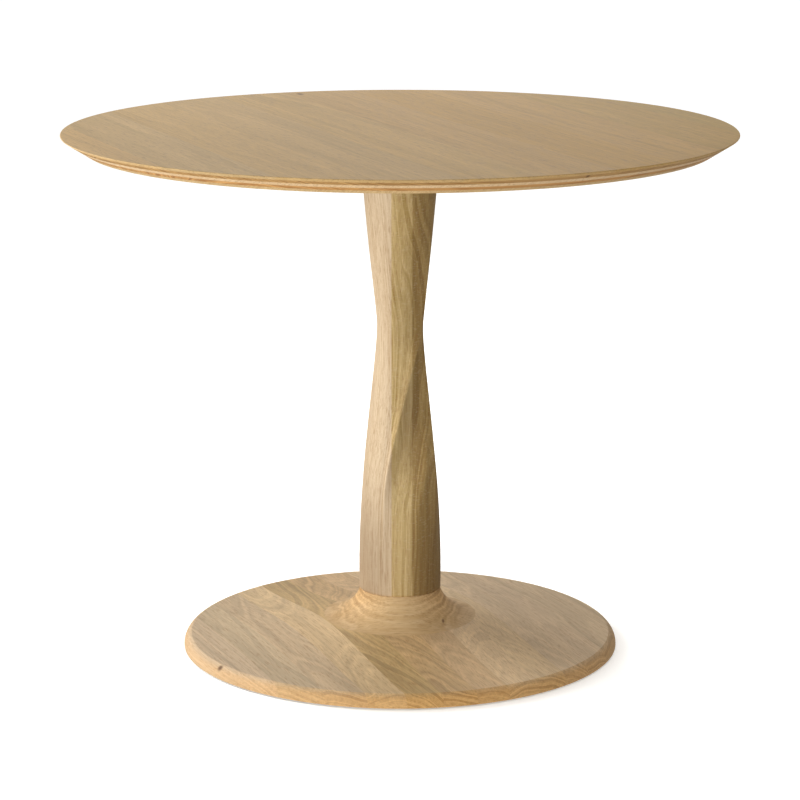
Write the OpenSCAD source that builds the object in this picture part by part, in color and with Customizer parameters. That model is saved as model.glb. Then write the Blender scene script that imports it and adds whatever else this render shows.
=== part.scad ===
// Round pedestal table. A five-layer round top with a bevelled edge stands on
// a faceted hourglass column, and the column on a dished round base of glued
// staves with a steel weight and four levelling feet underneath.
// Origin on the floor under the column's axis, +Z up, -Y to the front.
// Every size is in millimetres.

/* [Overall] */
// Height from the floor to the top face
table_h = 750; // [690:5:800]
// Diameter of the top
top_d = 950; // [760:10:1200]
// Diameter of the base
base_d = 628; // [520:4:760]
// Turn of the grain from the front-to-back line, in degrees
grain_turn = 22.7; // [-90:0.1:90]

/* [Top] */
// Thickness of each of the five glued layers
layer_t = 4.4; // [3.6:0.1:6]
// How far the bevelled edge runs in under the top
edge_run = 33; // [10:1:40]
// Radius of the softened corner above the bevel
edge_soft = 1.2; // [0.5:0.1:2]

/* [Column] */
// Height of the joint between the base and the column
joint_h = 84; // [70:1:110]
// Height of the column's waist
waist_h = 470; // [380:5:540]
// Width of the column at its waist
waist_d = 66; // [54:1:84]
// Width of the column under the top
column_top_d = 114; // [96:1:140]
// Width of the column just above its foot
column_foot_d = 118; // [100:1:140]
// How flat the facets are cut, from round at 0 to flat at 1
facet_cut = 0.95; // [0:0.05:1]
// Small chamfer that draws the line of the joint
joint_chamfer = 0.8; // [0.4:0.1:1.5]

/* [Base] */
// Thickness of the stave panel at its middle
panel_t = 40; // [34:1:48]
// Thickness of the panel at its rim
rim_t = 18; // [16:0.5:24]
// Radius of the round on the rim
rim_r = 18; // [15:1:24]
// How far the round reaches in from the edge
rim_in = 10.8; // [6:0.2:14]
// Diameter of the turned boss where it meets the panel
boss_d = 220; // [180:2:250]
// Sideways shift of the stave seams from the base's middle
stave_shift = 9; // [-20:1:20]

/* [Metalwork] */
// Diameter of the steel plate let into the underside of the top
plate_d = 280; // [220:5:320]
// Thickness of that plate
plate_t = 5; // [4:0.5:6]
// Diameter of the tie rod
rod_d = 12; // [10:1:14]
// Wood left between the steel weight and the feet's recesses
weight_web = 24.5; // [15:0.5:40]
// Thickness of the weight
weight_t = 10; // [8:0.5:12]

/* [Levelling feet] */
// Gap between the floor and the base
foot_gap = 2.5; // [2:0.5:5]
// Diameter of a foot's pad
pad_d = 30; // [24:1:36]
// Thickness of a foot's pad
pad_t = 6; // [5:0.5:8]
// Diameter of a foot's threaded stem
stem_d = 8; // [6:1:10]

/* [Hidden] */

board_count = 10;
stave_count = 13;
foot_count = 4;

// Clearances
run_gap = 0.08;
slide_gap = 0.2;
drill_gap = 0.5;

// Round faces are drawn with this many sides
$fn = 96;
small_fn = 32;

// Heights of the main faces
top_under = table_h - 5 * layer_t;
panel_low = foot_gap;
panel_high = foot_gap + panel_t;
rim_high = foot_gap + rim_t;
plate_high = top_under + plate_t;
weight_high = panel_low + weight_t;

// Widths that the driving sizes give
board_w = top_d / (board_count - 1);
stave_w = base_d / stave_count;
joint_r = column_foot_d / 2 - 1.4;

// Screws and inserts between the plate and the top
top_screw_count = 8;
top_screw_inset = 25;
top_screw_ring = plate_d / 2 - top_screw_inset;
top_screw_d = 6;
top_screw_head_d = 12;
insert_d = 10;
insert_high = table_h - layer_t - 1;

// Screws from the plate down into the column
column_screw_count = 4;
column_screw_inset = 18;
column_screw_ring = column_top_d / 2 - column_screw_inset;
column_screw_d = 5;
column_screw_head_d = 10;
column_screw_l = 60;

// Tie rod with the tapped tube that takes its upper end
tube_d = rod_d + 18;
tube_l = 20;
rod_bore_d = rod_d + 2 * drill_gap;
rod_high = plate_high - 2;
nut_af = 1.6 * rod_d;
nut_t = 10;
washer_d = 3 * rod_d;
washer_t = 3;
nut_well_d = washer_d + 2 * drill_gap;
nut_well_high = weight_high + nut_t + washer_t + 1.5;
rod_low = nut_well_high - washer_t - nut_t - 2;

// Dowels between the boss and the column
dowel_count = 2;
dowel_d = 10;
dowel_l = 50;
dowel_inset = 21.6;
dowel_ring = joint_r - dowel_inset;

// Levelling feet: a pad that slides, and a stem that turns in an insert
foot_ring = 5 * stave_w;
foot_turn = grain_turn + atan(3 / 4);
recess_d = pad_d + 4;
recess_high = panel_low + pad_t;
pad_socket_low = pad_t / 2;
collar_af = stem_d + 5;
collar_t = 2;
collar_low = pad_t + 0.3;
foot_insert_d = stem_d + 4;
stem_high = rim_high + 1.5;

// Weight between the feet, and its screws
weight_d = 2 * (foot_ring - recess_d / 2 - weight_web);
weight_hole_d = nut_well_d + 6;
weight_screw_inset = 35;
weight_screw_count = 6;
weight_screw_ring = weight_d / 2 - weight_screw_inset;
weight_screw_d = 5;
weight_screw_head_d = 10;
weight_screw_l = weight_t + 12;

wood_light = [0.86, 0.70, 0.50];
wood_mid = [0.80, 0.62, 0.41];
wood_dark = [0.66, 0.47, 0.28];

// ---------------------------------------------------------------- helpers

function smooth(x) = let (c = min(max(x, 0), 1)) c * c * (3 - 2 * c);
function mix(a, b, x) = a + (b - a) * x;

// Copies spaced evenly round the axis
module ring_of(count, radius, turn = 0) {
    for (i = [0:count - 1])
        rotate([0, 0, turn + i * 360 / count])
            translate([radius, 0, 0])
                children();
}

// An upright round bar or hole from one height to another
module bar(d, low, high, sides = small_fn) {
    translate([0, 0, low])
        cylinder(d = d, h = high - low, $fn = sides);
}

// A slab across the whole piece between two seams that run with the grain
module grain_slab(from, to, low, high, reach) {
    rotate([0, 0, grain_turn])
        translate([from, -reach, low])
            cube([to - from, 2 * reach, high - low]);
}

// A countersunk screw along +Z with its head's flat face at z = 0
module countersunk_screw(d, head_d, length) {
    head_t = (head_d - d) / 2;
    difference() {
        union() {
            cylinder(d1 = head_d, d2 = d, h = head_t, $fn = small_fn);
            translate([0, 0, head_t])
                cylinder(d = d, h = length - head_t, $fn = small_fn);
        }
        translate([0, 0, -1])
            cylinder(d = 0.75 * d, h = 1 + 0.4 * d, $fn = 6);
    }
}

// The hole that such a screw fills in the plate it holds
module countersunk_hole(d, head_d, depth) {
    head_t = (head_d - d) / 2;
    cylinder(d1 = head_d, d2 = d, h = head_t, $fn = small_fn);
    translate([0, 0, head_t / 2])
        cylinder(d = d, h = depth - head_t / 2 + 1, $fn = small_fn);
}

// ---------------------------------------------------------------- top

// Radius of the bevelled edge at a height
soft_low = table_h - edge_soft;
function bevel_radius(z) = top_d / 2 - edge_run * (soft_low - z) / (soft_low - top_under);

// Pocket and bores that the top's layers share
module top_cuts() {
    bar(plate_d + 2 * slide_gap, top_under - 1, plate_high, $fn);
    ring_of(top_screw_count, top_screw_ring)
        bar(insert_d, plate_high - 1, insert_high + drill_gap);
}

// One layer, numbered from 0 at the bottom
module top_layer(number) {
    low = top_under + number * layer_t;
    high = low + layer_t;
    difference() {
        rotate_extrude()
            polygon([[0, low], [bevel_radius(low), low], [bevel_radius(high), high], [0, high]]);
        top_cuts();
    }
}

// The face layer, with the softened corner
module face_disc() {
    low = table_h - layer_t;
    steps = 4;
    corner = [for (i = [0:steps])
        let (a = 90 * i / steps)
        [top_d / 2 - edge_soft * (1 - cos(a)), soft_low + edge_soft * sin(a)]];
    rotate_extrude()
        polygon(concat([[0, low], [bevel_radius(low), low]], corner, [[0, table_h]]));
}

function board_seam(i) = i == 0 ? -top_d : i == board_count ? top_d : board_w * (i - board_count / 2);

module top_face_board(i) {
    color(i % 3 == 0 ? wood_mid : wood_light)
        difference() {
            intersection() {
                face_disc();
                grain_slab(board_seam(i - 1), board_seam(i), top_under, table_h + 1, top_d);
            }
            top_cuts();
        }
}

module top_cross_layer_upper() { color(wood_mid) top_layer(3); }

module top_core_layer() { color(wood_light) top_layer(2); }

module top_cross_layer_lower() { color(wood_mid) top_layer(1); }

module top_backing_layer() { color(wood_light) top_layer(0); }

// ---------------------------------------------------------------- metalwork under the top

module top_inserts() {
    color("goldenrod")
        ring_of(top_screw_count, top_screw_ring)
            difference() {
                bar(insert_d, plate_high, insert_high);
                bar(top_screw_d, plate_high - 1, insert_high + 1);
            }
}

module top_plate() {
    color("dimgray")
        difference() {
            bar(plate_d, top_under, plate_high, $fn);
            bar(tube_d, top_under - 1, plate_high + 1);
            ring_of(top_screw_count, top_screw_ring)
                translate([0, 0, top_under])
                    countersunk_hole(top_screw_d, top_screw_head_d, plate_t);
            ring_of(column_screw_count, column_screw_ring, 45)
                translate([0, 0, plate_high])
                    mirror([0, 0, 1])
                        countersunk_hole(column_screw_d, column_screw_head_d, plate_t);
        }
}

module top_plate_screws() {
    color("silver")
        ring_of(top_screw_count, top_screw_ring)
            translate([0, 0, top_under])
                countersunk_screw(top_screw_d, top_screw_head_d, insert_high - top_under - 1);
}

// Tapped steel tube welded into the plate
module plate_tube() {
    color("dimgray")
        difference() {
            bar(tube_d, plate_high - tube_l, plate_high);
            bar(rod_d, plate_high - tube_l - 1, plate_high + 1);
        }
}

module column_screws() {
    color("silver")
        ring_of(column_screw_count, column_screw_ring, 45)
            translate([0, 0, plate_high])
                mirror([0, 0, 1])
                    countersunk_screw(column_screw_d, column_screw_head_d, column_screw_l);
}

// ---------------------------------------------------------------- column

// Half the column's width at a height: two straight tapers that meet in a
// short round waist. The upper one swells a little, and the lower one eases
// upright above the foot.
waist_soft = 0.05;
upper_swell = 0.06;
lower_sweep = 98;
lower_power = 1.1;
function hourglass(t) = (sqrt(t * t + waist_soft * waist_soft) - waist_soft)
    / (sqrt(1 + waist_soft * waist_soft) - waist_soft);
function rise(z) = (z - waist_h) / (top_under - waist_h);
function drop(z) = (waist_h - z) / (waist_h - joint_h);
function half_width(z) = z >= waist_h
    ? mix(waist_d, column_top_d, hourglass(rise(z)) + upper_swell * sin(180 * rise(z))) / 2
    : mix(waist_d, column_foot_d, sin(lower_sweep * pow(hourglass(drop(z)), lower_power))) / 2;

// How far the section has gone from a circle to its polygon. It is a circle at
// the top and at the foot.
waist_flat = 0.85;
round_rise = 0.75;
full_drop = 0.15;
fade_drop = 0.5;
fade_span = 0.38;
function flatness(z) = facet_cut * (z >= waist_h
    ? waist_flat * (1 - smooth(rise(z) / round_rise))
    : mix(waist_flat, 1, smooth(drop(z) / full_drop)) * (1 - smooth((drop(z) - fade_drop) / fade_span)));

// Half a turn of the section has five corners. Two ridges stand still, a
// quarter apart, and lean to the left as they go down. A third one winds: it
// leaves the second under the waist and sweeps to the first. Lower down a
// hollow opens behind it, up to a knee. All angles are in degrees.
ridge_start = -21;
ridge_lean = 8;
lean_drop = 0.15;
lean_span = 0.45;
wind_top = 45;
wind_most = 82;
wind_least = 5;
wind_sweep = 88;
wind_span = 0.246;
wind_rise = 0.5;
hollow_share = 0.2;
hollow_depth = 0.09;
knee_high_share = 0.76;
knee_low_share = 0.59;
knee_drop = 0.45;
knee_span = 0.25;
function first_turn(z) = ridge_start - ridge_lean * smooth((drop(z) - lean_drop) / lean_span);
function wind(z) = z >= waist_h
    ? mix(wind_top, wind_most, 1 - smooth(rise(z) / wind_rise))
    : max(wind_least, min(wind_most, wind_sweep * exp(-drop(z) / wind_span)));
function hollow_turn(z) = mix(wind(z), 90, hollow_share);
function knee_share(z) = mix(knee_high_share, knee_low_share, smooth((drop(z) - knee_drop) / knee_span));
function knee_turn(z) = mix(wind(z), 90, knee_share(z));

// Reach of a straight side from corner a to corner b, seen at angle x
function side(a, ra, b, rb, x) = ra * rb * sin(b - a) / (ra * sin(x - a) + rb * sin(b - x));

// Reach of each corner, where 1 is the full circle. A corner that lies on the
// straight side between its neighbours doesn't show. Each grows or fades over
// a part of the drop from the waist to the foot.
first_span = 0.233;
first_power = 1.5;
wind_grow = [-0.12, 0.14];
knee_grow = [0.3, 0.2];
hollow_grow = [0.32, 0.15];
hollow_fade = [0.52, 0.2];
function grown(z, part) = smooth((drop(z) - part[0]) / part[1]);
function first_reach(z) = z >= waist_h ? 1
    : mix(side(-90, 1, wind(z), 1, 0), 1, exp(-pow(drop(z) / first_span, first_power)));
function wind_reach(z) = mix(side(0, 1, 90, 1, wind(z)), 1, grown(z, wind_grow));
function knee_reach(z) = mix(
    side(wind(z), wind_reach(z), 90, 1, knee_turn(z)), 1, grown(z, knee_grow));
function hollow_reach(z) = side(wind(z), wind_reach(z), knee_turn(z), knee_reach(z), hollow_turn(z))
    - hollow_depth * grown(z, hollow_grow) * (1 - grown(z, hollow_fade));

function corners(z) = [
    [0, first_reach(z)], [wind(z), wind_reach(z)], [hollow_turn(z), hollow_reach(z)],
    [knee_turn(z), knee_reach(z)], [90, 1], [180, first_reach(z)]];

// Steps of the surface along each side, and how flat each side is. The last
// side is gently round.
side_steps = [3, 3, 4, 3, 7];
gentle = 0.5;
function side_cut(i, x) = i == 0 ? mix(gentle, 1, x) : i == 4 ? gentle : 1;

// One ring of the column's surface, scaled so that its width is the one asked
function ring_points(z, shrink = 0) =
    let (c = corners(z), flat = flatness(z))
    let (polar = [for (k = [0:1], i = [0:4], j = [0:side_steps[i] - 1])
        let (x = j / side_steps[i], turn = mix(c[i][0], c[i + 1][0], x))
        let (straight = side(c[i][0], c[i][1], c[i + 1][0], c[i + 1][1], turn))
        [first_turn(z) + 180 * k + turn, 1 - flat * side_cut(i, x) * (1 - straight)]])
    let (widest = max([for (p = polar) p[1] * abs(sin(p[0]))]))
    let (scale_to = (half_width(z) - shrink) / widest)
    [for (p = polar) [scale_to * p[1] * sin(p[0]), -scale_to * p[1] * cos(p[0]), z]];

ring_gap = 20;
rings_up = ceil((top_under - waist_h) / ring_gap);
rings_down = ceil((waist_h - joint_h) / ring_gap);

module column_body() {
    inner = concat(
        [for (i = [1:rings_down - 1]) mix(joint_h, waist_h, i / rings_down)],
        [for (i = [0:rings_up]) mix(waist_h, top_under, i / rings_up)]);
    points = concat(
        ring_points(joint_h, joint_chamfer),
        [for (p = ring_points(joint_h)) p + [0, 0, joint_chamfer]],
        [for (z = inner, p = ring_points(z)) p]);
    n = 2 * (side_steps * [1, 1, 1, 1, 1]);
    rows = len(points) / n;
    polyhedron(points, concat(
        [[for (j = [0:n - 1]) j]],
        [for (r = [0:rows - 2], j = [0:n - 1])
            [r * n + j, (r + 1) * n + j, (r + 1) * n + (j + 1) % n]],
        [for (r = [0:rows - 2], j = [0:n - 1])
            [r * n + j, (r + 1) * n + (j + 1) % n, r * n + (j + 1) % n]],
        [[for (j = [n - 1:-1:0]) (rows - 1) * n + j]]));
}

module column() {
    color(wood_light)
        difference() {
            column_body();
            bar(rod_bore_d, joint_h - 1, top_under + 1);
            bar(tube_d + 2 * slide_gap, plate_high - tube_l - drill_gap, top_under + 1);
            ring_of(column_screw_count, column_screw_ring, 45)
                bar(column_screw_d, plate_high - column_screw_l - drill_gap, top_under + 1);
            ring_of(dowel_count, dowel_ring)
                bar(dowel_d, joint_h - 1, joint_h + dowel_l / 2 + drill_gap);
        }
}

module column_dowels() {
    color(wood_dark)
        ring_of(dowel_count, dowel_ring)
            bar(dowel_d, joint_h - dowel_l / 2, joint_h + dowel_l / 2);
}

// ---------------------------------------------------------------- tie rod

module tie_rod() {
    tip = 1;
    color("silver")
        rotate_extrude($fn = small_fn)
            polygon([
                [0, rod_low], [rod_d / 2 - tip, rod_low], [rod_d / 2, rod_low + tip],
                [rod_d / 2, rod_high - tip], [rod_d / 2 - tip, rod_high], [0, rod_high]]);
}

module tie_rod_washer() {
    color("silver")
        difference() {
            bar(washer_d, nut_well_high - washer_t, nut_well_high);
            bar(rod_bore_d, nut_well_high - washer_t - 1, nut_well_high + 1);
        }
}

module tie_rod_nut() {
    high = nut_well_high - washer_t;
    color("silver")
        difference() {
            bar(nut_af / cos(30), high - nut_t, high, 6);
            bar(rod_d, high - nut_t - 1, high + 1);
        }
}

// ---------------------------------------------------------------- base

// Height of the dished panel and of the boss's cove at a radius
rim_edge = base_d / 2 - rim_in;
function dish(r) = mix(rim_high, panel_high, pow((rim_edge - r) / (rim_edge - boss_d / 2), 1.5));
boss_h = joint_h - panel_high;
function cove(x) = panel_high + boss_h * (0.21 * x + 0.5 * x * x + 0.29 * pow(x, 8));

// The turned outline of the panel, from its middle underneath round to the top
module panel_disc() {
    centre_r = base_d / 2 - rim_r;
    centre_z = rim_high - sqrt(rim_r * rim_r - pow(rim_r - rim_in, 2));
    low_angle = -asin(min(1, (centre_z - panel_low) / rim_r));
    high_angle = acos((rim_edge - centre_r) / rim_r);
    round_steps = 7;
    dish_steps = 9;
    rim = [for (i = [0:round_steps])
        let (a = mix(low_angle, high_angle, i / round_steps))
        [centre_r + rim_r * cos(a), centre_z + rim_r * sin(a)]];
    top = [for (i = [1:dish_steps])
        let (r = mix(rim_edge, boss_d / 2, i / dish_steps))
        [r, dish(r)]];
    rotate_extrude()
        polygon(concat([[0, panel_low]], rim, top, [[0, panel_high]]));
}

// Pockets and bores that the staves share
module panel_cuts() {
    bar(weight_d + 2 * slide_gap, panel_low - 1, weight_high, $fn);
    bar(nut_well_d, weight_high - 1, nut_well_high);
    bar(rod_bore_d, nut_well_high - 1, panel_high + 1);
    ring_of(weight_screw_count, weight_screw_ring)
        bar(weight_screw_d, weight_high - 1, panel_low + weight_screw_l + drill_gap);
    ring_of(foot_count, foot_ring, foot_turn) {
        bar(recess_d, panel_low - 1, recess_high);
        bar(foot_insert_d, recess_high - 1, rim_high);
        bar(stem_d + 2 * run_gap, rim_high - 1, stem_high + drill_gap);
    }
}

function stave_seam(i) = i == 0 ? -base_d : i == stave_count ? base_d
    : stave_w * (i - stave_count / 2) + stave_shift;

module base_stave(i) {
    color(i == 5 || i == 6 ? wood_dark : i % 2 == 0 ? wood_light : wood_mid)
        difference() {
            intersection() {
                panel_disc();
                grain_slab(stave_seam(i - 1), stave_seam(i), 0, panel_high + 1, base_d);
            }
            panel_cuts();
        }
}

// Turned block that carries the dish up to the column in a cove
module base_boss() {
    steps = 14;
    cove_points = [for (i = [0:steps])
        let (x = i / steps)
        [mix(boss_d / 2, joint_r, x), cove(x) - (i == steps ? joint_chamfer : 0)]];
    color(wood_mid)
        difference() {
            rotate_extrude()
                polygon(concat(
                    [[0, panel_high]], cove_points,
                    [[joint_r - joint_chamfer, joint_h], [0, joint_h]]));
            bar(rod_bore_d, panel_high - 1, joint_h + 1);
            ring_of(dowel_count, dowel_ring)
                bar(dowel_d, joint_h - dowel_l / 2 - drill_gap, joint_h + 1);
        }
}

module base_weight() {
    color("dimgray")
        difference() {
            bar(weight_d, panel_low, weight_high, $fn);
            bar(weight_hole_d, panel_low - 1, weight_high + 1);
            ring_of(weight_screw_count, weight_screw_ring)
                translate([0, 0, panel_low])
                    countersunk_hole(weight_screw_d, weight_screw_head_d, weight_t);
        }
}

module base_weight_screws() {
    color("silver")
        ring_of(weight_screw_count, weight_screw_ring)
            translate([0, 0, panel_low])
                countersunk_screw(weight_screw_d, weight_screw_head_d, weight_screw_l);
}

// ---------------------------------------------------------------- levelling feet

module foot_inserts() {
    color("goldenrod")
        ring_of(foot_count, foot_ring, foot_turn)
            difference() {
                bar(foot_insert_d, recess_high, rim_high);
                bar(stem_d + 2 * run_gap, recess_high - 1, rim_high + 1);
            }
}

// Puts a foot's pieces at its place round the base
module foot_place(i) {
    rotate([0, 0, foot_turn + (i - 1) * 360 / foot_count])
        translate([foot_ring, 0, 0])
            children();
}

// Nylon pad with the socket that the stem turns in
module foot_pad(i) {
    edge = 1;
    color("white")
        foot_place(i)
            difference() {
                rotate_extrude($fn = small_fn)
                    polygon([
                        [0, 0], [pad_d / 2 - edge, 0], [pad_d / 2, edge],
                        [pad_d / 2, pad_t - edge], [pad_d / 2 - edge, pad_t], [0, pad_t]]);
                bar(stem_d + 2 * run_gap, pad_socket_low, pad_t + 1);
            }
}

// Steel stem with the hexagonal collar that a thin spanner turns
module foot_stem(i) {
    color("silver")
        foot_place(i)
            union() {
                bar(stem_d, pad_socket_low, stem_high);
                bar(collar_af / cos(30), collar_low, collar_low + collar_t, 6);
            }
}

// ---------------------------------------------------------------- every node

for (i = [1:board_count])
    top_face_board(i);
top_cross_layer_upper();
top_core_layer();
top_cross_layer_lower();
top_backing_layer();
top_inserts();
top_plate();
top_plate_screws();
plate_tube();
column_screws();
column();
column_dowels();
tie_rod();
tie_rod_washer();
tie_rod_nut();
base_boss();
for (i = [1:stave_count])
    base_stave(i);
base_weight();
base_weight_screws();
foot_inserts();
for (i = [1:foot_count])
    foot_pad(i);
for (i = [1:foot_count])
    foot_stem(i);
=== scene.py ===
# %% [markdown]
# # A round pedestal table in oak
#
# The table has a round top with a bevelled, layered edge, an hourglass column
# whose facets wind as they go down, and a dished round base glued up from
# staves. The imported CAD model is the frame: it holds every size and place, and
# this script only gives the pieces their surfaces. The column is the one piece
# that is made again, because a finer mesh of the same shape shades better.

# %% Load the frame
import math

import bpy
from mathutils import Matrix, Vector


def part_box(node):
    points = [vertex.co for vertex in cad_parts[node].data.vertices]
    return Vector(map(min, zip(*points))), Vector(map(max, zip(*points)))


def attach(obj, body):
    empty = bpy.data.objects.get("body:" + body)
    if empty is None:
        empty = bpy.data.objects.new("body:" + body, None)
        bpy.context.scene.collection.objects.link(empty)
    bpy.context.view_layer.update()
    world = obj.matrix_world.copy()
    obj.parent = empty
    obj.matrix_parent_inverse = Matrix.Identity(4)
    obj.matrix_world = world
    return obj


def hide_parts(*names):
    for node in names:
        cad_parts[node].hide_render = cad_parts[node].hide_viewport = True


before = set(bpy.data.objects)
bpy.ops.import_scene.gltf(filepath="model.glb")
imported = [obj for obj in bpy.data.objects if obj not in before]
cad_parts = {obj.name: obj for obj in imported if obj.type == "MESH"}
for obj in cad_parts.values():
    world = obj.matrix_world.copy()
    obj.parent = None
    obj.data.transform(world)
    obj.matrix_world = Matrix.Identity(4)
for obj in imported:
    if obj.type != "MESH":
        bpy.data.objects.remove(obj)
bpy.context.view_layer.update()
print("nodes in the frame:", len(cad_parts))

# %% [markdown]
# The camera stands a little over four metres in front of the table, at about
# head height, and looks down on it. The long lens keeps both ellipses, the
# top's and the base's, nearly as flat as the eye sees them from across a room.

# %% Camera
camera_back = 4.1397
camera_up = 1.2993
camera_tilt = math.radians(90 - 12.772)
lens_mm = 133.24

camera_data = bpy.data.cameras.new("camera")
camera_data.lens = lens_mm
camera_data.sensor_width = 36
camera = bpy.data.objects.new("camera", camera_data)
camera.location = (0, -camera_back, camera_up)
camera.rotation_euler = (camera_tilt, 0, 0)
bpy.context.scene.collection.objects.link(camera)
bpy.context.scene.camera = camera
print("camera looks down by", round(90 - math.degrees(camera_tilt), 2), "degrees")

# %% [markdown]
# Colours are written as sRGB hex values, the way a paint chart gives them.
# Blender's shaders work in linear light, so one function converts them. A
# second small function adds a node, sets it up and links it, which keeps each
# material short enough to read.

# %% Helpers for colour and nodes
def linear(hex_colour):
    """An sRGB hex value as linear red, green, blue and alpha."""
    parts = [int(hex_colour[i:i + 2], 16) / 255 for i in (0, 2, 4)]
    return [p / 12.92 if p <= 0.04045 else ((p + 0.055) / 1.055) ** 2.4 for p in parts] + [1]


def add(tree, kind, links=None, **settings):
    """A new node. links maps each input to the socket or the value that it takes."""
    made = tree.nodes.new(kind)
    for key, value in settings.items():
        setattr(made, key, value)
    for key, source in (links or {}).items():
        if isinstance(source, bpy.types.NodeSocket):
            tree.links.new(source, made.inputs[key])
        else:
            made.inputs[key].default_value = source
    return made


def new_material(name):
    """An empty node material, its tree, and the one shader that it ends in."""
    material = bpy.data.materials.new(name)
    material.use_nodes = True
    tree = material.node_tree
    tree.nodes.clear()
    shader = add(tree, "ShaderNodeBsdfPrincipled")
    add(tree, "ShaderNodeOutputMaterial", {"Surface": shader.outputs[0]})
    return material, tree, shader


print("middle grey in linear light:", round(linear("808080")[0], 3))

# %% [markdown]
# The floor is one sheet of studio paper, wide enough to run past the picture on
# every side. It throws no colour of its own back on the table.

# %% Floor
floor_half = 30.0
floor_mesh = bpy.data.meshes.new("floor")
floor_mesh.from_pydata(
    [(-floor_half, -floor_half, 0), (floor_half, -floor_half, 0),
     (floor_half, floor_half, 0), (-floor_half, floor_half, 0)],
    [], [(0, 1, 2, 3)])
floor = bpy.data.objects.new("floor", floor_mesh)
bpy.context.scene.collection.objects.link(floor)

# Dull and almost white: it gives the eye a pale ground with soft shadows. The
# faint glow stands in for the light that a whole white room would send back.
paper_glow = 0.25
paper, _, paper_shader = new_material("white_studio_paper")
paper_shader.inputs["Base Color"].default_value = linear("f2f2f0")
paper_shader.inputs["Roughness"].default_value = 0.9
paper_shader.inputs["Emission Color"].default_value = linear("ffffff")
paper_shader.inputs["Emission Strength"].default_value = paper_glow
floor_mesh.materials.append(paper)
floor.visible_diffuse = False
floor.visible_glossy = False
print("floor is", 2 * floor_half, "m across")

# %% [markdown]
# A large soft light stands at the back left, and low reflectors on the left and
# in front lift the bevel under the top. A last light behind rims the edges.
# Nothing bright stands on the right, so the column turns dark there.

# %% Lights
def soft_light(name, place, aim, size, watts):
    """A rectangular white light at place that faces aim."""
    data = bpy.data.lights.new(name, "AREA")
    data.shape = "RECTANGLE"
    data.size, data.size_y = size
    data.energy = watts
    light = bpy.data.objects.new(name, data)
    light.location = place
    light.rotation_euler = (Vector(aim) - Vector(place)).to_track_quat("-Z", "Y").to_euler()
    light.visible_camera = False
    bpy.context.scene.collection.objects.link(light)


def around_table(azimuth, height, distance):
    """A place at a distance from the table's axis. Azimuth 0 is the front, and
    positive angles go to the right."""
    angle = math.radians(azimuth)
    return (distance * math.sin(angle), -distance * math.cos(angle), height)


low_aim, high_aim = (0, 0, 0.4), (0, 0, 0.6)
big, flat_and_low = (1.6, 1.6), (1.8, 0.5)
lamp_up, lamp_out = 1.52, 2.78
reflector_up, reflector_out = 0.14, 2.17
soft_light("key_left", around_table(-120, lamp_up, lamp_out), low_aim, big, 51)
soft_light("reflector_left", around_table(-65, reflector_up, reflector_out), high_aim, flat_and_low, 29)
soft_light("reflector_front", around_table(-15, reflector_up, reflector_out), high_aim, flat_and_low, 21)
soft_light("rim_back", around_table(180, lamp_up, lamp_out), low_aim, big, 15)

# %% [markdown]
# The wash is a wide, soft sun that only the floor receives, so the paper goes
# nearly white and the table keeps its own light and shade. The room around
# fills the shadows evenly.

# %% Floor wash and room
wash_spread = math.radians(100)
wash_strength = 1.5
room_strength = 0.425

wash_data = bpy.data.lights.new("floor_wash", "SUN")
wash_data.angle = wash_spread
wash_data.energy = wash_strength
wash = bpy.data.objects.new("floor_wash", wash_data)
bpy.context.scene.collection.objects.link(wash)
washed = bpy.data.collections.new("washed")
washed.objects.link(floor)
wash.light_linking.receiver_collection = washed

room = bpy.data.worlds.new("studio")
room.use_nodes = True
room.node_tree.nodes["Background"].inputs[0].default_value = linear("ffffff")
room.node_tree.nodes["Background"].inputs[1].default_value = room_strength
bpy.context.scene.world = room
bpy.context.scene.view_settings.view_transform = "Standard"

# %% [markdown]
# Oak, in one function. Oak shows long pores, rings of darker early wood, slow
# changes of tone along each board, and end grain where a curve cuts across
# the fibres. All of it is computed in the space of the wood itself: the piece's
# own coordinates are turned until the fibres run along Y, and the rings are
# cylinders about the tree's heart. The rim and the bevel then get their end
# grain by themselves, as on a piece cut from a real board.
#
# The sizes come from real oak. Its pores are about 0.3 mm wide; they are drawn
# coarser, as bundles of a few, so that they still show from across a room.

# %% Sizes in the wood
pore_width, pore_length = 0.0016, 0.026
streak_width, streak_length = 0.0035, 0.25
cloud_width, cloud_length = 0.03, 0.40
wander_width, wander_length = 0.07, 0.35
ray_width, ray_length = 0.005, 0.002
ring_sway = 0.02
ring_taper = 0.05
print("a bundle of pores is drawn", 1000 * pore_width, "mm wide")

# %% [markdown]
# Three building blocks of the figure: noise that is long along the fibres and
# short across them, rings about the heart, and a way to add their shares up.

# %% Patterns in the wood
def drawn_out(tree, grain, seed, width, length, detail, shift=0.0):
    """Noise drawn out along the fibres, from 0 to 1, about 0.5 on average."""
    stretched = add(tree, "ShaderNodeMapping", {
        "Vector": grain,
        "Location": (seed + shift, 2 * seed + shift, 3 * seed + shift),
        "Scale": (1 / width, 1 / length, 1 / width)})
    return add(tree, "ShaderNodeTexNoise", {
        "Vector": stretched.outputs[0], "Scale": 1.0, "Detail": detail, "Roughness": 0.6})


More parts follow.
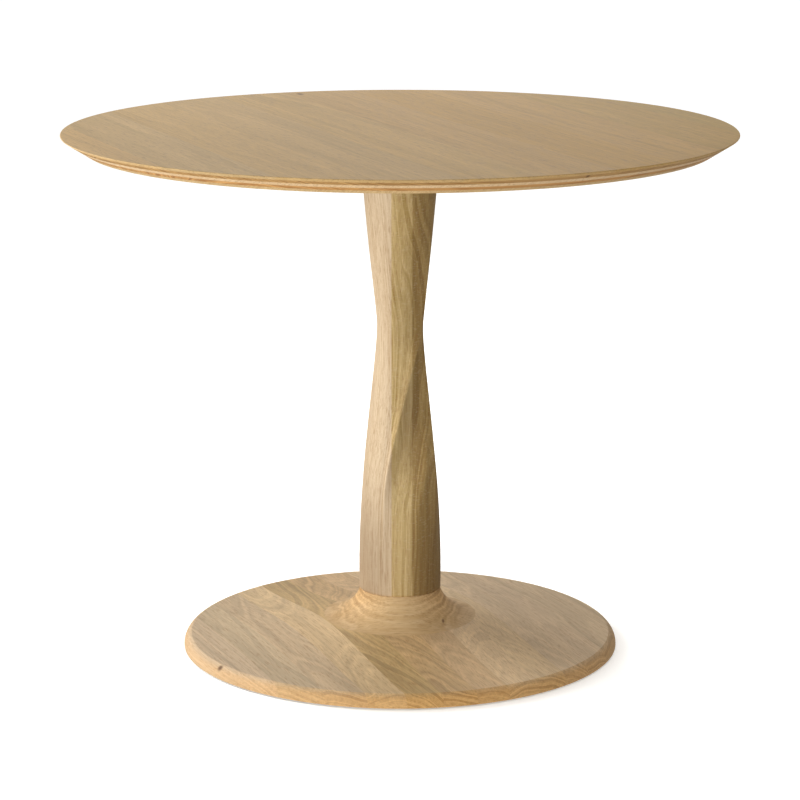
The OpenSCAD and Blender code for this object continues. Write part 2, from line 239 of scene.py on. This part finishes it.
def year_rings(tree, grain, seed, heart, ring):
    """Noise over the distance from the heart, in years, so no two years are alike.
    The heart sways a little, and the rings taper along the tree."""
    wander = drawn_out(tree, grain, seed, wander_width, wander_length, 2.0)
    from_heart = add(tree, "ShaderNodeVectorMath", {
        0: grain, 1: (-heart[0], -heart[1], -heart[2])}, operation="ADD")
    tapered = add(tree, "ShaderNodeVectorMath", {
        0: from_heart.outputs[0], 1: (1, ring_taper, 1)}, operation="MULTIPLY")
    swayed = add(tree, "ShaderNodeVectorMath", {
        0: wander.outputs["Color"], 1: (ring_sway, 0, ring_sway), 2: tapered.outputs[0]},
        operation="MULTIPLY_ADD")
    radius = add(tree, "ShaderNodeVectorMath", {0: swayed.outputs[0]}, operation="LENGTH")
    years = add(tree, "ShaderNodeMath", {
        0: radius.outputs["Value"], 1: 1 / ring}, operation="MULTIPLY")
    return add(tree, "ShaderNodeTexNoise", {
        "W": years.outputs[0], "Scale": 1.0, "Detail": 2.0, "Roughness": 0.7},
        noise_dimensions="1D")


def weigh(tree, value, share, base):
    """base + share * (value - 0.5)."""
    centred = add(tree, "ShaderNodeMath", {0: value, 1: -0.5}, operation="ADD")
    return add(tree, "ShaderNodeMath", {
        0: centred.outputs[0], 1: share, 2: base}, operation="MULTIPLY_ADD").outputs[0]


print("a year's ring sways by up to", 1000 * ring_sway, "mm")

# %% [markdown]
# Two things lie over the plain figure. Where a face cuts across the fibres,
# end grain shows, darker and coarser. Knots, flecks and patches of painted shade
# are soft dark spots, each at its own place on the piece.

# %% End grain and marks
knot_tone = "5b3c20"
cut_starts, cut_full = 0.15, 0.9
spot_core, spot_edge = 0.2, 1.0


def cut_across(tree, piece, lie, ends):
    """How much end grain a face shows, from 0 along the fibres to ends across them."""
    facing = add(tree, "ShaderNodeMapping", {"Vector": piece.outputs["Normal"], "Rotation": lie})
    along = add(tree, "ShaderNodeVectorMath", {
        0: facing.outputs[0], 1: (0, 1, 0)}, operation="DOT_PRODUCT")
    steep = add(tree, "ShaderNodeMath", {0: along.outputs["Value"]}, operation="ABSOLUTE")
    return add(tree, "ShaderNodeMapRange", {
        0: steep.outputs[0], 1: cut_starts, 2: cut_full, 3: 0.0, 4: ends})


def marked(tree, piece, lie, colour, marks):
    """The colour with its marks laid on. A mark is its place, its half size
    across and along the fibres, and how dark it is."""
    for place, (half_across, half_along), dark in marks:
        apart = add(tree, "ShaderNodeVectorMath", {
            0: piece.outputs["Object"], 1: (-place[0], -place[1], -place[2])}, operation="ADD")
        turned = add(tree, "ShaderNodeMapping", {"Vector": apart.outputs[0], "Rotation": lie})
        shaped = add(tree, "ShaderNodeVectorMath", {
            0: turned.outputs[0], 1: (1 / half_across, 1 / half_along, 1 / half_across)},
            operation="MULTIPLY")
        reach = add(tree, "ShaderNodeVectorMath", {0: shaped.outputs[0]}, operation="LENGTH")
        spot = add(tree, "ShaderNodeMapRange", {
            0: reach.outputs["Value"], 1: spot_core, 2: spot_edge, 3: dark, 4: 0.0},
            interpolation_type="SMOOTHSTEP")
        colour = add(tree, "ShaderNodeMix", {
            "Factor": spot.outputs[0], 6: colour, 7: linear(knot_tone)}, data_type="RGBA").outputs[2]
    return colour


print("a knot is", knot_tone)

# %% [markdown]
# The wood itself. The finish is a hard wax oil: matte, with open pores, so it
# mirrors much less than a film of lacquer would. That is why its specular level
# is low while its IOR stays that of oil.

# %% Wood
pore_tone = "94693d"
ray_tone = "ead8ba"
end_deep, end_pale = "96662f", "ecbb78"
rim_tone = "d79f55"
streak_share, cloud_share, ring_share = 0.9, 0.8, 2.6
end_streak_share, end_ring_share = 1.5, 3.0
pore_starts, pore_full, pore_shown = 0.52, 0.68, 0.42
ray_starts, ray_full = 0.55, 0.7
rim_steep, rim_level = 0.6, 0.985
glue_line = 0.0005
oil_roughness, pore_roughness = 0.62, -0.3
oil_ior, oil_mirror = 1.5, 0.2
pore_depth, pore_relief = 0.0003, 0.3


def wood(name, pale, deep, lie, heart, ring=0.0035, figure=0.5, rays=0.0, ends=0.5, warm=0.0, seed=0.0,
         marks=(), blocks=()):
    """Wood with a matte oil finish. pale and deep are its two tones, lie turns
    the fibres to run along Y, heart is the tree's middle in that space, ring is
    the width of a year's growth, figure, rays and ends are how strongly rings,
    ray flecks and end grain show, warm is how much richer a rounded rim looks
    where it drank more oil, marks are knots, flecks and dark places, and blocks
    are glued on at one side, each from a place along X and with its own tones."""
    material, tree, shader = new_material(name)
    piece = add(tree, "ShaderNodeTexCoord")
    grain = add(tree, "ShaderNodeMapping", {"Vector": piece.outputs["Object"], "Rotation": lie}).outputs[0]
    rings = year_rings(tree, grain, seed, heart, ring)
    pore = drawn_out(tree, grain, seed, pore_width, pore_length, 2.0, 13.0)
    streak = drawn_out(tree, grain, seed, streak_width, streak_length, 2.0, 5.0)
    cloud = drawn_out(tree, grain, seed, cloud_width, cloud_length, 1.0, 9.0)

    tone = weigh(tree, streak.outputs["Fac"], streak_share, 0.5)
    tone = weigh(tree, cloud.outputs["Fac"], cloud_share, tone)
    tone = weigh(tree, rings.outputs["Fac"], ring_share * figure, tone)
    tone = add(tree, "ShaderNodeClamp", {"Value": tone}).outputs[0]
    colour = add(tree, "ShaderNodeMix", {
        "Factor": tone, 6: linear(deep), 7: linear(pale)}, data_type="RGBA").outputs[2]

    if blocks:
        place = add(tree, "ShaderNodeSeparateXYZ", {"Vector": piece.outputs["Object"]})
    for edge, other_pale, other_deep in blocks:
        beyond = add(tree, "ShaderNodeMapRange", {
            0: place.outputs[0], 1: edge - glue_line, 2: edge + glue_line})
        other = add(tree, "ShaderNodeMix", {
            "Factor": tone, 6: linear(other_deep), 7: linear(other_pale)}, data_type="RGBA")
        colour = add(tree, "ShaderNodeMix", {
            "Factor": beyond.outputs[0], 6: colour, 7: other.outputs[2]}, data_type="RGBA").outputs[2]

    if rays:
        ray = drawn_out(tree, grain, seed, ray_width, ray_length, 1.0, 21.0)
        fleck = add(tree, "ShaderNodeMapRange", {
            0: ray.outputs["Fac"], 1: ray_starts, 2: ray_full, 3: 0.0, 4: rays})
        colour = add(tree, "ShaderNodeMix", {
            "Factor": fleck.outputs[0], 6: colour, 7: linear(ray_tone)}, data_type="RGBA").outputs[2]

    open_pore = add(tree, "ShaderNodeMapRange", {
        0: pore.outputs["Fac"], 1: pore_starts, 2: pore_full, 3: 0.0, 4: pore_shown})
    colour = add(tree, "ShaderNodeMix", {
        "Factor": open_pore.outputs[0], 6: colour, 7: linear(pore_tone)}, data_type="RGBA").outputs[2]

    end_tone = weigh(tree, rings.outputs["Fac"], end_ring_share, 0.5)
    end_tone = weigh(tree, streak.outputs["Fac"], end_streak_share, end_tone)
    end_grain = add(tree, "ShaderNodeMix", {
        "Factor": end_tone, 6: linear(end_deep), 7: linear(end_pale)}, data_type="RGBA")
    colour = add(tree, "ShaderNodeMix", {
        "Factor": cut_across(tree, piece, lie, ends).outputs[0], 6: colour, 7: end_grain.outputs[2]},
        data_type="RGBA").outputs[2]

    if warm:
        facing = add(tree, "ShaderNodeSeparateXYZ", {"Vector": piece.outputs["Normal"]})
        facing_up = add(tree, "ShaderNodeMath", {0: facing.outputs[2]}, operation="ABSOLUTE")
        oiled = add(tree, "ShaderNodeMapRange", {
            0: facing_up.outputs[0], 1: rim_steep, 2: rim_level, 3: warm, 4: 0.0})
        colour = add(tree, "ShaderNodeMix", {
            "Factor": oiled.outputs[0], 6: colour, 7: linear(rim_tone)}, data_type="RGBA").outputs[2]

    tree.links.new(marked(tree, piece, lie, colour, marks), shader.inputs["Base Color"])
    dull = weigh(tree, pore.outputs["Fac"], pore_roughness, oil_roughness)
    tree.links.new(dull, shader.inputs["Roughness"])
    bump = add(tree, "ShaderNodeBump", {
        "Height": pore.outputs["Fac"], "Strength": pore_relief, "Distance": pore_depth})
    tree.links.new(bump.outputs[0], shader.inputs["Normal"])
    shader.inputs["IOR"].default_value = oil_ior
    shader.inputs["Specular IOR Level"].default_value = oil_mirror
    return material


print("the oil's roughness is about", oil_roughness)

# %% [markdown]
# The CAD pieces stay exactly as they are and only take a material. Each board's
# second tone is its first one, a little deeper, as in one real tree.

# %% Giving a material to CAD nodes
def give(names, material):
    """Each named CAD node shows the material."""
    for name in names:
        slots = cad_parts[name].data.materials
        slots.clear()
        slots.append(material)


def deeper(hex_colour, share):
    """The same colour with each part scaled down to a share."""
    return "".join(f"{int(int(hex_colour[k:k + 2], 16) * share):02x}" for k in (0, 2, 4))


print("a tenth deeper than white:", deeper("ffffff", 0.9))

# %% [markdown]
# The top's face is glued from boards. Each has its own tone, and its own place
# in the tree, so no two carry the same figure. The boards are painted a little
# deeper towards the right, as painted shade, since the light falls from the left.
# One dark mark lies near the back edge.

# %% Top boards
grain_turn = math.radians(22.7)
with_boards = (0, 0, -grain_turn)
across_boards = (0, 0, math.radians(90) - grain_turn)
# Painted shade: the board tones run deeper towards the right.
board_tones = ["ebc487", "e3c088", "e4be80", "deb97e", "e0b979", "dcb475", "dab06c", "ddb472", "d8b16e",
               "d4b16e"]
board_depth = 0.86
top_across = 0.95
board_width = top_across / (len(board_tones) - 1)
board_middle = 4.5
board_heart_z, board_heart_step = 0.68, 0.03
board_heart_aside, board_heart_along = 0.02, 0.3
top_mark = ((-0.154, 0.418, 0.7498), (0.007, 0.014), 0.85)

# Honey-coloured oak: it gives the eye long quiet stripes and a soft, dull sheen.
for i, pale in enumerate(board_tones):
    heart = (
        (i - board_middle) * board_width + board_heart_aside * ((i * 7) % 5 - 2),
        board_heart_along * ((i * 3) % 4 - 1.5),
        board_heart_z - board_heart_step * (i % 3))
    give([f"top_face_board_{i + 1}"], wood(
        f"oak_face_board_{i + 1}", pale, deeper(pale, board_depth), with_boards, heart, seed=1.7 * i,
        figure=0.3, ends=0.1, marks=[top_mark]))
print("boards in the face:", len(board_tones))

# %% [markdown]
# Under the face lie four more layers. The two cross layers run the other way,
# so the bevel cuts their fibres and they show as two darker bands. A small knot
# sits in the upper one, at the front right.

# %% Layers of the top
edge_knot = ((0.2395, -0.402, 0.744), (0.007, 0.004), 0.85)

# Oak cut across its fibres: it gives a dark and coarse band.
give(["top_cross_layer_upper"], wood(
    "oak_cross_ply_upper", "cfa467", "94693a", across_boards, (0.1, 0, 0.6), figure=1, ends=0.3, seed=31,
    marks=[edge_knot]))
give(["top_cross_layer_lower"], wood(
    "oak_cross_ply_lower", "dca766", "a87340", across_boards, (0.3, 0, 0.6), figure=1, ends=0.3, seed=41))

# Oak cut along its fibres: it gives a pale, calm band between the dark ones.
give(["top_core_layer"], wood(
    "oak_core", "f2d4a8", "dcb989", with_boards, (0.2, 0, 0.6), ends=0.1, seed=37))
give(["top_backing_layer"], wood(
    "oak_backing", "e3c490", "c9a672", with_boards, (0.4, 0, 0.6), ends=0.1, seed=43))
print("the boards run", round(math.degrees(grain_turn), 1), "degrees off the line of sight")

# %% [markdown]
# The base is glued from thirteen staves. The two darker ones left of the middle
# are plain sawn, with a strong figure; the others are paler and quieter. The
# rounded rim drank more oil than the face and looks richer. The staves that pass
# in front of the boss are painted paler, as painted light that lifts the shade
# falling there.

# %% Base staves
# Painted light: the staves in front of the boss are paler, which lifts the shade that falls there.
stave_tones = ["e2c9a6", "dcc5a0", "dec49e", "ebce9f", "d4b580", "dcba88", "e4c293", "efd0a2", "ecce9f",
               "e4c8a0", "dfc49e", "dcc29c", "dcc29c"]
stave_depth = 0.8
base_across = 0.628
stave_width = base_across / len(stave_tones)
stave_middle = 6
plain_sawn = (4, 5)
strong_figure, quiet_figure = 0.6, 0.35
rim_warmth = 0.35
stave_heart_z, stave_heart_step = -0.05, 0.02
stave_heart_aside, stave_heart_along = 0.02, 0.2
stave_fleck = ((-0.0775, 0.119, 0.046), (0.002, 0.010), 0.7)
rim_knot = ((-0.2517, -0.1786, 0.0165), (0.007, 0.007), 0.85)

# Pale oak: it gives the eye a lighter, greyer ground than the top, golden at the rim.
for i, pale in enumerate(stave_tones):
    heart = (
        (i - stave_middle) * stave_width + stave_heart_aside * ((i * 5) % 4 - 1.5),
        stave_heart_along * ((i * 3) % 4 - 1.5),
        stave_heart_z - stave_heart_step * (i % 3))
    give([f"base_stave_{i + 1}"], wood(
        f"oak_stave_{i + 1}", pale, deeper(pale, stave_depth), with_boards, heart, seed=50 + 2.3 * i,
        figure=strong_figure if i in plain_sawn else quiet_figure, ends=0.6, warm=rim_warmth,
        marks=[stave_fleck, rim_knot]))
print("staves in the base:", len(stave_tones))

# %% [markdown]
# The boss is one block on top of the staves. Its fibres run from left to right,
# across the line of sight, so it stands apart from them.

# %% Boss
boss_lie = (0, 0, math.radians(90))
boss_fleck = ((0.0618, -0.062, 0.048), (0.008, 0.003), 0.8)

# Golden oak: it gives a low step that is a little darker than the staves around it.
give(["base_boss"], wood(
    "oak_boss", "dcc095", "bd9a66", boss_lie, (0.02, 0, -0.16), ring=0.0045, figure=0.35, seed=91,
    marks=[boss_fleck]))
print("the boss's fibres are turned by", round(math.degrees(boss_lie[2])), "degrees")

# %% [markdown]
# The column is turned and then carved. Its outline is an hourglass: two
# straight tapers that meet in a short round waist. Its section is a circle at
# both ends, and in between it is the same on both halves of a turn. Each half
# has two ridges that stand still, a quarter apart, and one that winds: it
# leaves the second under the waist and sweeps to the first. Lower down a
# hollow opens behind it, up to a knee. The mesh has a column of vertices along
# each ridge, so that the ridge stays crisp but not razor sharp.

# %% Outline of the column
low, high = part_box("column")
joint_z, top_z = low.z, high.z
waist_z = 0.470
waist_width = 0.066
top_width = 0.114
foot_width = 0.118
waist_soft = 0.05
upper_swell = 0.06
lower_sweep = math.radians(98)
lower_power = 1.1


def smooth(x):
    """A soft step from 0 to 1."""
    c = min(max(x, 0), 1)
    return c * c * (3 - 2 * c)


def mix(a, b, x):
    """From a to b as x goes from 0 to 1."""
    return a + (b - a) * x


def hourglass(t):
    """A straight taper with a short round start."""
    return (math.hypot(t, waist_soft) - waist_soft) / (math.hypot(1, waist_soft) - waist_soft)


def rise(z):
    """How far up a height is, from 0 at the waist to 1 under the top."""
    return (z - waist_z) / (top_z - waist_z)


def drop(z):
    """How far down a height is, from 0 at the waist to 1 at the foot."""
    return (waist_z - z) / (waist_z - joint_z)


def half_width(z):
    """Half the width that the column shows from the front."""
    if z >= waist_z:
        swollen = hourglass(rise(z)) + upper_swell * math.sin(math.pi * rise(z))
        return mix(waist_width, top_width, swollen) / 2
    return mix(waist_width, foot_width, math.sin(lower_sweep * hourglass(drop(z)) ** lower_power)) / 2


print("the column is", round(2000 * half_width(waist_z), 1), "mm wide at its waist")

# %% [markdown]
# The section of the column. Each corner has an angle, and a reach, where 1 is
# the full circle. A corner that lies on the straight side between its
# neighbours doesn't show. Each one grows or fades over a part of the drop from
# the waist to the foot, written as where that starts and how long it takes.

# %% Section of the column
facet_cut = 0.95
waist_flat = 0.85
round_rise = 0.75
quarter = math.pi / 2
ridge_start = -21
ridge_lean = 8
wind_top, wind_most, wind_least = 45, 82, 5
wind_sweep = 88
wind_span = 0.246
wind_rise = 0.5
first_span, first_power = 0.233, 1.5
hollow_share = 0.2
hollow_depth = 0.09
knee_high_share, knee_low_share = 0.76, 0.59
flat_grow, flat_fade = (0, 0.15), (0.5, 0.38)
lean_grow = (0.15, 0.45)
wind_grow = (-0.12, 0.14)
hollow_grow, hollow_fade = (0.32, 0.15), (0.52, 0.2)
knee_grow, knee_slide = (0.3, 0.2), (0.45, 0.25)


def grown(z, part):
    """How far something has grown at a height, from 0 to 1."""
    start, length = part
    return smooth((drop(z) - start) / length)


def flatness(z):
    """How far the section has gone from a circle to its polygon."""
    if z >= waist_z:
        return facet_cut * waist_flat * (1 - smooth(rise(z) / round_rise))
    return facet_cut * mix(waist_flat, 1, grown(z, flat_grow)) * (1 - grown(z, flat_fade))


def first_turn(z):
    """Angle of the still ridge, which leans a little to the left as it goes down."""
    return math.radians(ridge_start - ridge_lean * grown(z, lean_grow))


def wind(z):
    """Angle of the winding ridge, from the still one."""
    if z >= waist_z:
        return math.radians(mix(wind_top, wind_most, 1 - smooth(rise(z) / wind_rise)))
    return math.radians(max(wind_least, min(wind_most, wind_sweep * math.exp(-drop(z) / wind_span))))


def side(a, reach_a, b, reach_b, x):
    """Reach at angle x of the straight line between two corners."""
    return reach_a * reach_b * math.sin(b - a) / (reach_a * math.sin(x - a) + reach_b * math.sin(b - x))


def corners(z):
    """Angle and reach of the corners of half a turn of the section."""
    w = wind(z)
    first = 1
    if z < waist_z:
        still = math.exp(-(drop(z) / first_span) ** first_power)
        first = mix(side(-quarter, 1, w, 1, 0), 1, still)
    winding = mix(side(0, 1, quarter, 1, w), 1, grown(z, wind_grow))
    knee_turn = mix(w, quarter, mix(knee_high_share, knee_low_share, grown(z, knee_slide)))
    knee = mix(side(w, winding, quarter, 1, knee_turn), 1, grown(z, knee_grow))
    hollow_turn = mix(w, quarter, hollow_share)
    hollow = side(w, winding, knee_turn, knee, hollow_turn)
    hollow -= hollow_depth * grown(z, hollow_grow) * (1 - grown(z, hollow_fade))
    return [(0, first), (w, winding), (hollow_turn, hollow), (knee_turn, knee), (quarter, 1),
            (2 * quarter, first)]


side_steps = [8, 8, 10, 8, 18]
around = 2 * sum(side_steps)
gentle = 0.5


def column_ring(z, shrink=0.0):
    """The points of the column's section at a height."""
    c, flat = corners(z), flatness(z)
    polar = []
    for half in range(2):
        for i, steps in enumerate(side_steps):
            for j in range(steps):
                x = j / steps
                turn = mix(c[i][0], c[i + 1][0], x)
                cut = mix(gentle, 1, x) if i == 0 else gentle if i == 4 else 1
                straight = side(*c[i], *c[i + 1], turn)
                polar.append((first_turn(z) + half * math.pi + turn, 1 - flat * cut * (1 - straight)))
    widest = max(r * abs(math.sin(a)) for a, r in polar)
    scale = (half_width(z) - shrink) / widest
    return [(scale * r * math.sin(a), -scale * r * math.cos(a), z) for a, r in polar]


print("points in each ring:", around)

# %% [markdown]
# The mesh: rings every four millimetres, joined by quads. A small chamfer at
# the foot draws the line of the joint.

# %% Column
ring_step = 0.004
chamfer = 0.0008
ring_count = round((top_z - joint_z) / ring_step)
heights = [mix(joint_z, top_z, i / ring_count) for i in range(1, ring_count + 1)]
rings = [column_ring(joint_z, chamfer), [(x, y, z + chamfer) for x, y, z in column_ring(joint_z)]]
rings += [column_ring(z) for z in heights]
vertices = [p for ring in rings for p in ring]
faces = []
for r in range(len(rings) - 1):
    here, above = r * around, (r + 1) * around
    for j in range(around):
        k = (j + 1) % around
        faces.append((here + j, here + k, above + k, above + j))
faces.append(tuple(reversed(range(around))))
faces.append(tuple((len(rings) - 1) * around + j for j in range(around)))
column_mesh = bpy.data.meshes.new("carved_column")
column_mesh.from_pydata(vertices, [], faces)
column_mesh.update()
for polygon in column_mesh.polygons:
    polygon.use_smooth = len(polygon.vertices) == 4
column = bpy.data.objects.new("carved_column", column_mesh)
bpy.context.scene.collection.objects.link(column)
print("column faces:", len(column_mesh.polygons))

# %% [markdown]
# The column is glued from three blocks, and each keeps its own tone: paler and
# pinker on the left, golden in the middle, darker on the right. Shade is painted
# on both sides of its foot and in the hollow beside the winding ridge, and a
# little ray fleck shows.

# %% Wood of the column
upright = (math.radians(-90), 0, 0)
column_fleck = ((-0.031, -0.02, 0.507), (0.0012, 0.003), 0.6)
# Painted shade: a darker patch in the hollow beside the winding ridge.
painted_hollow_shade = ((0.014, -0.04, 0.33), (0.028, 0.12), 0.3)
# Painted shade: both sides of the column's foot are darker.
painted_shade_left_foot = ((-0.055, -0.03, 0.09), (0.08, 0.22), 0.42)
painted_shade_right_foot = ((0.055, -0.03, 0.09), (0.07, 0.20), 0.40)
middle_block = (-0.012, "dcc28e", "a5894f")
right_block = (0.0175, "b99d66", "8a6e3e")

# Brown-grey oak: it gives straight upright stripes that follow the taper's light.
column_mesh.materials.append(wood(
    "oak_column", "e0cbab", "bfa480", upright, (-0.05, 0.35, -0.01), ring=0.003, figure=0.5, rays=0.15,
    seed=71, blocks=[middle_block, right_block],
    marks=[column_fleck, painted_hollow_shade, painted_shade_left_foot, painted_shade_right_foot]))
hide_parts("column")
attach(column, "table")
print("the column shows", [m.name for m in column_mesh.materials])

# %% [markdown]
# Metal and plastic, under the top and under the base. None of them is even: the
# powder coat has a fine orange peel, the zinc has dull and bright patches, the
# brass keeps the marks of the lathe, and the nylon is a little cloudy.

# %% Uneven finishes
def uneven(name, dark, light, patch, roughness, relief, metallic=0.0):
    """A hard material whose tone, roughness and height drift from place to
    place. patch is the size of the patches and relief their height, in metres,
    and roughness is its two ends."""
    material, tree, shader = new_material(name)
    piece = add(tree, "ShaderNodeTexCoord")
    drift = add(tree, "ShaderNodeTexNoise", {
        "Vector": piece.outputs["Object"], "Scale": 1 / patch, "Detail": 3.0, "Roughness": 0.6})
    tone = add(tree, "ShaderNodeMix", {
        "Factor": drift.outputs["Fac"], 6: linear(dark), 7: linear(light)}, data_type="RGBA")
    dullness = add(tree, "ShaderNodeMapRange", {
        0: drift.outputs["Fac"], 1: 0.3, 2: 0.7, 3: roughness[0], 4: roughness[1]})
    height = add(tree, "ShaderNodeBump", {
        "Height": drift.outputs["Fac"], "Strength": 0.5, "Distance": relief})
    tree.links.new(tone.outputs[2], shader.inputs["Base Color"])
    tree.links.new(dullness.outputs[0], shader.inputs["Roughness"])
    tree.links.new(height.outputs[0], shader.inputs["Normal"])
    shader.inputs["Metallic"].default_value = metallic
    return material


print("an uneven material takes its patch size and its relief in metres")

# %% [markdown]
# Steel that carries load is zinc plated, the plates are powder coated, and the
# inserts are turned brass. The pads are nylon, so that the feet don't scratch a
# floor. The dowels in the column are plain beech.

# %% Metalwork
feet = range(1, 5)

# Near black, with a fine orange peel: it gives a broad, broken, dull highlight.
give(["top_plate", "plate_tube", "base_weight"], uneven(
    "black_powder_coat", "202124", "303236", 0.0012, (0.45, 0.6), 0.0002))

# Cool light grey metal: it gives small bright edges among dull patches.
give(["top_plate_screws", "column_screws", "tie_rod", "tie_rod_washer", "tie_rod_nut", "base_weight_screws"]
     + [f"foot_stem_{i}" for i in feet], uneven(
    "zinc_plated_steel", "a9adb3", "c9ccd0", 0.003, (0.28, 0.45), 0.00005, metallic=1))

# Warm yellow metal, fresh from the lathe: it gives a clear, slightly rough gleam.
give(["top_inserts", "foot_inserts"], uneven(
    "turned_brass", "bd9443", "d6b060", 0.0008, (0.22, 0.4), 0.00005, metallic=1))

# Milky white plastic: it gives a soft, waxy highlight and no grain at all.
give([f"foot_pad_{i}" for i in feet], uneven(
    "moulded_nylon", "d9d5ca", "ece9e0", 0.004, (0.4, 0.55), 0.0001))

# Plain pinkish wood: it gives a quieter surface than the oak around it.
give(["column_dowels"], wood(
    "beech_dowel", "d9b994", "c09a70", upright, (0.1, 0, 0), ring=0.002, figure=0.2, ends=0.2))
print("finishes:", [m.name for m in bpy.data.materials if "oak" not in m.name])
